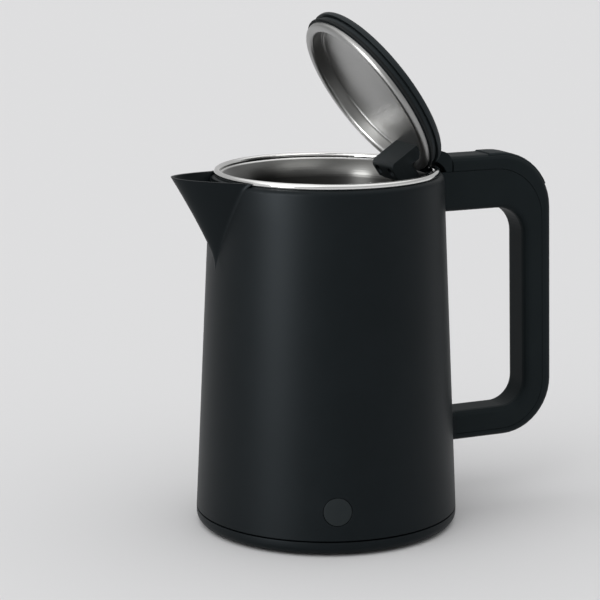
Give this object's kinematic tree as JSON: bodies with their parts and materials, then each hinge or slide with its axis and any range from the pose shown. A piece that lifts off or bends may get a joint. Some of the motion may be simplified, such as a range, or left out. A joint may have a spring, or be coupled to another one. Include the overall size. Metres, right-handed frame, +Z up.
{
  "type": "electric kettle",
  "caption": "Cordless electric kettle with a double-walled tapered body, V spout, D handle and a sprung hinged lid standing open over its steel pot.",
  "frame": {"origin": "on the kettle's upright axis, which is also the axis of the base socket, level with the undersides of the feet on the worktop", "axes": "+X from the kettle's axis to the handle (the spout is on -X), +Y to the side away from the power button, +Z up"},
  "size_m": [0.2503, 0.158, 0.307],
  "materials": {
    "shell_black": "fine satin",
    "handle_black": "satin",
    "strip_black": "soft matt",
    "lid_black": "satin",
    "button_grey": "matt",
    "inner_black": "moulded",
    "rubber": "matt",
    "pot_steel": "turned and brushed, polished rim",
    "pan_steel": "spun",
    "plate_steel": "zinc plated",
    "spring_steel": "bright wire",
    "heater_aluminium": "pressed",
    "contact_brass": "bright",
    "board_green": "lacquered",
    "relay_blue": "moulded",
    "phenolic_brown": "moulded",
    "wire_red": "sleeved"
  },
  "bodies": {
    "kettle_body": {"outer_shell": "shell_black", "inner_pot": "pot_steel", "rim_gasket": "rubber", "spout_strainer": "pot_steel", "spout_seal": "rubber", "base_cover": "shell_black", "rubber_feet": "rubber", "base_screws": "plate_steel", "chassis_plate": "plate_steel", "pot_studs": "plate_steel", "stud_nuts": "contact_brass", "heating_plate": "heater_aluminium", "heating_element": "heater_aluminium", "thermal_cutouts": "phenolic_brown", "temperature_probe": "plate_steel", "connector_housing": "inner_black", "contact_rings": "contact_brass", "earth_contact": "contact_brass", "control_board": "board_green", "relay": "relay_blue", "wiring": "wire_red", "button_board": "board_green", "button_spring": "spring_steel", "handle_frame": "handle_black", "handle_back": "handle_black", "handle_screws": "plate_steel", "lid_button_spring": "spring_steel", "latch_spring": "spring_steel", "hinge_housing": "handle_black", "hinge_pin": "plate_steel", "hinge_spring": "spring_steel"},
    "lid": {"lid_cover": "lid_black", "lid_core": "lid_black", "lid_seal": "rubber", "lid_pan": "pan_steel", "lid_arm": "lid_black", "lid_arm_screws": "plate_steel"},
    "lid_release": {"lid_button": "strip_black"},
    "latch": {"latch_slider": "inner_black"},
    "power_switch": {"power_button": "button_grey"}
  },
  "joints": [
    {"name": "lid_hinge", "type": "hinge", "parent": "kettle_body", "child": "lid", "pos_m": [0.0628, 0, 0.20505], "axis": [0, 1, 0], "range_deg": [-56, 0], "stiffness_Nm_per_rad": 0.05, "springref_deg": 137.51},
    {"name": "lid_button_press", "type": "hinge", "parent": "kettle_body", "child": "lid_release", "pos_m": [0.1393, 0, 0.1952], "axis": [0, -1, 0], "range_deg": [0, 5], "stiffness_Nm_per_rad": 0.5, "springref_deg": -5.73, "deforming": ["lid_button_spring"]},
    {"name": "latch_slide", "type": "slide", "parent": "kettle_body", "child": "latch", "axis": [1, 0, 0], "range_m": [0, 0.0023], "deforming": ["latch_spring"]},
    {"name": "power_button_press", "type": "slide", "parent": "kettle_body", "child": "power_switch", "axis": [0.342, 0.9397, 0], "range_m": [0, 0.0012], "stiffness_N_per_m": 500, "springref_m": -0.002, "deforming": ["button_spring"]}
  ],
  "couplings": [
    {"joint": "latch_slide", "follows": "lid_button_press", "m_per_rad": 0.026}
  ]
}
